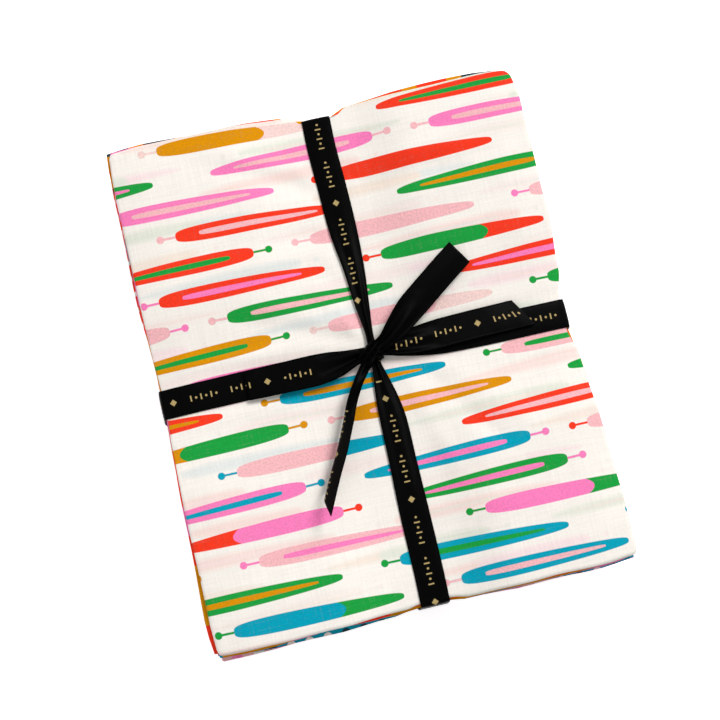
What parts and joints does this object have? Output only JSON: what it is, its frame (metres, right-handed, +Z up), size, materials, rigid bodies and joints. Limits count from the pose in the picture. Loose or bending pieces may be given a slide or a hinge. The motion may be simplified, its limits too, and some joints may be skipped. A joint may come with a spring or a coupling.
{
  "type": "fat quarter bundle",
  "caption": "Stack of folded quilting cotton fat quarters, tied both ways with a narrow black ribbon in a flat bow.",
  "frame": {"origin": "middle of the bundle's box, on the surface that it stands on", "axes": "+Y along the longer folded side, +Z up through the stack, +X across; the closed fold of each fat quarter is at -X"},
  "size_m": [0.2348, 0.285, 0.0678],
  "materials": {
    "cotton_green": "matte woven cotton",
    "cotton_teal": "matte woven cotton",
    "cotton_hot_pink": "matte woven cotton",
    "cotton_mustard": "matte woven cotton",
    "cotton_red": "matte woven cotton",
    "cotton_light_pink": "matte woven cotton",
    "cotton_cream": "matte woven cotton",
    "black_ribbon": "satin woven ribbon"
  },
  "bodies": {
    "root": {"fat_quarter_01": "cotton_green", "fat_quarter_02": "cotton_teal", "fat_quarter_03": "cotton_hot_pink", "fat_quarter_04": "cotton_mustard", "fat_quarter_05": "cotton_red", "fat_quarter_06": "cotton_light_pink", "fat_quarter_07": "cotton_green", "fat_quarter_08": "cotton_teal", "fat_quarter_09": "cotton_hot_pink", "fat_quarter_10": "cotton_mustard", "fat_quarter_11": "cotton_red", "fat_quarter_12": "cotton_light_pink", "fat_quarter_13": "cotton_green", "fat_quarter_14": "cotton_teal", "fat_quarter_15": "cotton_hot_pink", "fat_quarter_16": "cotton_mustard", "fat_quarter_17": "cotton_red", "fat_quarter_18": "cotton_cream", "ribbon": "black_ribbon"}
  },
  "joints": []
}
